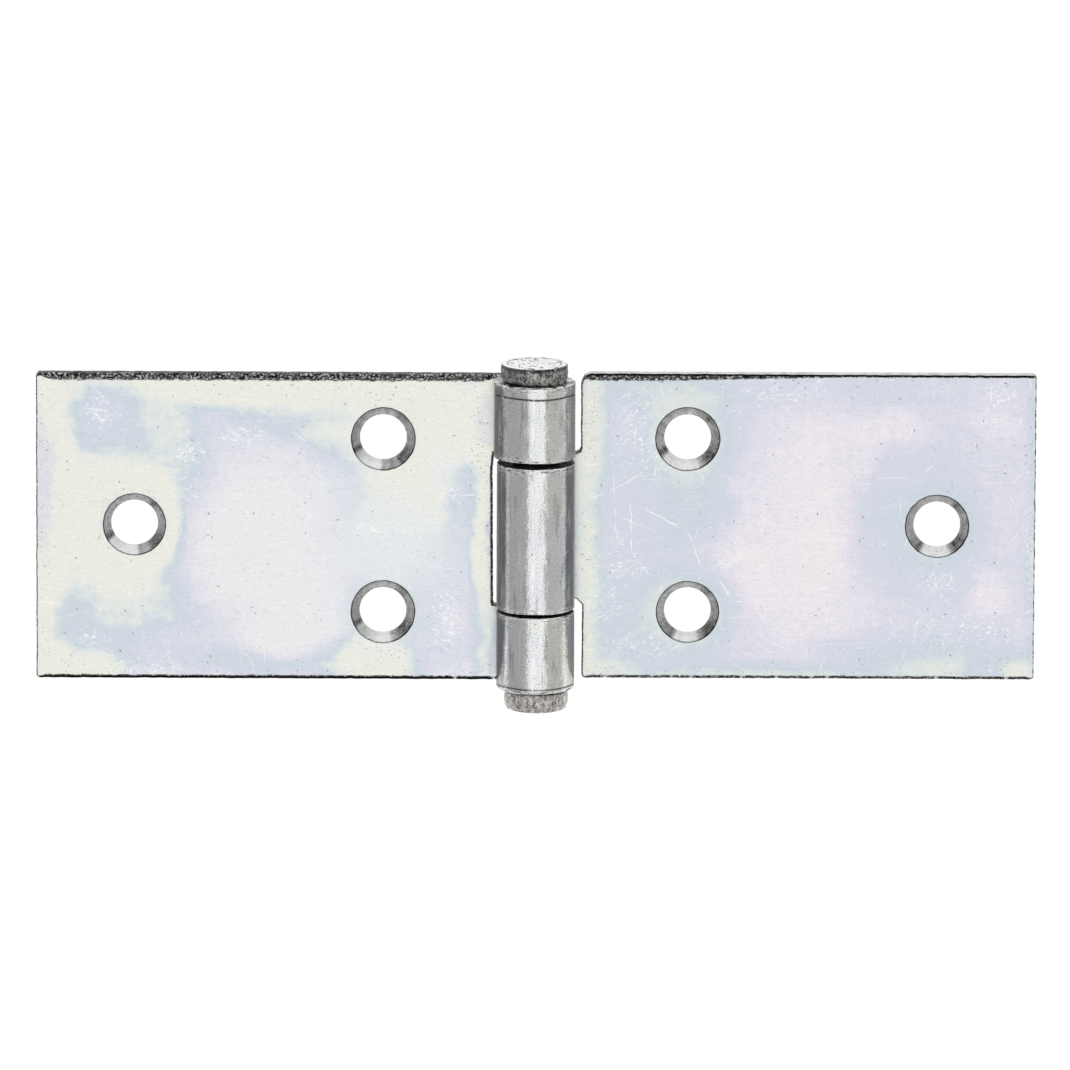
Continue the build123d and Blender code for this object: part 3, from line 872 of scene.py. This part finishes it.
def makePin(pin):
    # radius at each angle = profile radius less an unevenness that grows over the heads;
    # the faces fall a little in rings
    face = np.linspace(0.0, pin["topHead"][0][0], 40)[:-1]
    foot = np.linspace(pin["bottomHead"][-1][0], 0.0, 8)[1:]
    shaft = [(pin["shaft"], y) for y in np.linspace(pin["high"], pin["low"], 24)]
    profile = np.array([(r, pin["topHead"][0][1]) for r in face] + pin["topHead"] + shaft + pin["bottomHead"]
                       + [(r, pin["bottomHead"][-1][1]) for r in foot])
    radius, along = profile[:, :1], profile[:, 1:]
    turns = np.arange(pin["steps"]) / pin["steps"]
    onHead = eased(along, *pin["topUneven"]) + eased(-along, *pin["bottomUneven"])
    onHead = onHead * eased(radius, 3.0, 4.0)
    lumps = np.stack([wobble(turns + 0.13 * row, 2, 14, pin["seed"] + row // 3)
                      for row in range(len(profile))])
    turned = radius - onHead * pin["unevenness"] * 0.5 * (1.0 + np.clip(lumps, -1.0, 1.0))
    struck = pin["ringDepth"] * np.exp(-((radius - pinSteel["ring"]) / pin["ringHalf"]) ** 2)
    struck = pin["fineDepth"] * (1.0 + np.cos(radius * pin["fineWaves"])) + struck
    sunk = struck * (np.abs(along) > pin["struckFrom"]) * np.sign(along)
    angle = 2.0 * np.pi * turns
    top, bottom = pin["headShift"]
    shift = top * eased(along, *pin["topShift"]) + bottom * eased(-along, *pin["bottomShift"])
    across, above = turned * np.cos(angle), turned * np.sin(angle)
    places = np.stack(np.broadcast_arrays(shift + across, along - sunk, rollOutside + above), 2)
    wrap = np.stack(np.broadcast_arrays(across / 4.0, above / 4.0, along * 0.25), 2)
    # marks that depend only on the place along the pin
    along = along[:, 0]
    marks = {"face": eased(along, 22.2, 22.36), "foot": eased(-along, 20.4, 20.8),
             "hidden": eased(-np.abs(along), -20.8, -20.5) * eased(-along, -20.1, -19.9),
             "brow": eased(along, 21.7, 22.0) * eased(-along, -22.28, -22.15)}
    marks = {mark: np.repeat(values, pin["steps"]) for mark, values in marks.items()}
    marks.update({"out": turned.ravel(), "wrap": wrap.reshape(-1, 3)})
    faces = ringQuads(len(profile), pin["steps"])
    return storeMesh("hingePin", places.reshape(-1, 3), faces, marks, makePinSteel(pinSteel), "fixed_leaf",
                     "hinge_pin")


makePin(hingePin)


# floor, light and camera, in metres

studio = {
    "floorHeight": -0.0605,   # clears the leaf when it swings straight down
    "floorSize": 6.0,
    "paper": (grey(0.80), grey(0.84)),   # the floor's two tones for light that bounces off it
    "shade": (grey(0.19), grey(0.21)),   # and under the glow that the camera sees
    "glow": 0.90,
    "worldLevel": 0.52,
    "worldSlope": 0.07,   # how much brighter the room is to the right
    "panelPlace": (0.06, -0.20, 0.90),
    "panelSize": (0.90, 1.05),
    "cardPlace": (0.0, 1.30, 0.30),
    "cardSize": (4.2, 0.40),
    "cardLevel": 0.8,
    "panelLevel": 0.57,   # the room behind the lamp adds to it in reflections
}


def makeStudio(look):
    # floor: white to the camera and in reflections, plain diffuse to other light, open from below
    half = look["floorSize"] / 2
    mesh = bpy.data.meshes.new("floor")
    sides = ((-half, -half), (half, -half), (half, half), (-half, half))
    mesh.from_pydata([(x, y, look["floorHeight"]) for x, y in sides], [], [(0, 1, 2, 3)])
    material, start = newFinish("palePaper")
    seen = start.node("LightPath", None, None, "Is Camera Ray")
    path = seen.socket.node.outputs
    for ray in ("Is Glossy Ray", "Is Transmission Ray"):
        seen = seen + Wire(start.tree, path[ray])
    below = start.node("NewGeometry", None, None, "Backfacing")
    fibre = start.node("TexCoord", None, None, "Object").noise(40.0, 3.0)
    paper = start.node("BsdfDiffuse", None, {"Color": fibre.tint(*look["paper"])})
    shade = start.node("BsdfDiffuse", None, {"Color": fibre.tint(*look["shade"])})
    glow = start.node("Emission", None, {"Color": grey(1.0), "Strength": look["glow"]})
    white = start.node("AddShader", None, {0: shade, 1: glow})
    shown = start.node("MixShader", None, {0: seen, 1: paper, 2: white})
    clear = start.node("BsdfTransparent")
    finishWith(start, start.node("MixShader", None, {0: below, 1: shown, 2: clear}))
    mesh.materials.append(material)
    floor = bpy.data.objects.new("floor", mesh)
    scene.collection.objects.link(floor)

    world = bpy.data.worlds.new("studioRoom")
    world.use_nodes = True
    room = Wire(world.node_tree)
    world.node_tree.nodes.clear()
    way = room.node("TexCoord", None, None, "Generated").parts()[0]
    level = way * look["worldSlope"] + look["worldLevel"]
    light = room.node("Background", None, {"Color": grey(1.0), "Strength": level})
    room.node("OutputWorld", None, {"Surface": light})
    scene.world = world

    # a soft panel overhead, and a low card beyond the top of the picture that the countersinks catch
    for name in ("panel", "card"):
        lamp = bpy.data.lights.new(name, "AREA")
        lamp.shape = "RECTANGLE"
        lamp.size, lamp.size_y = look[name + "Size"]
        lamp.energy = look[name + "Level"] * math.pi * lamp.size * lamp.size_y
        holder = bpy.data.objects.new(name, lamp)
        place = Vector(look[name + "Place"])
        facing = place if name == "card" else Vector((0.0, 0.0, 1.0))
        holder.matrix_world = Matrix.Translation(place) @ facing.to_track_quat("Z", "Y").to_matrix().to_4x4()
        scene.collection.objects.link(holder)


camera = {
    "tilt": 12.0,   # degrees from straight down, towards the top of the picture
    "roll": 0.25,   # degrees that the picture is turned clockwise
    "distance": 2.0,
    "viewWidth": 0.13824,   # what the frame's 1070 px span at the origin
    "slide": (-0.00009, -0.00132),   # right and up, so that the hinge sits as in the picture
}


def makeCamera(look):
    tilt, roll = math.radians(look["tilt"]), math.radians(look["roll"])
    toward = Vector((0.0, math.sin(tilt), math.cos(tilt)))
    up = Vector((0.0, math.cos(tilt), -math.sin(tilt)))
    right = up.cross(toward)
    slid = right * look["slide"][0] + up * look["slide"][1]
    lean = Matrix.Rotation(roll, 3, toward)
    axes = Matrix((lean @ right, lean @ up, toward)).transposed().to_4x4()
    data = bpy.data.cameras.new("photoCamera")
    data.sensor_width = 36.0
    data.lens = data.sensor_width * look["distance"] / look["viewWidth"]
    made = bpy.data.objects.new("photoCamera", data)
    made.matrix_world = Matrix.Translation(slid + toward * look["distance"]) @ axes
    scene.collection.objects.link(made)
    scene.camera = made


makeStudio(studio)
makeCamera(camera)
print("studio ready")
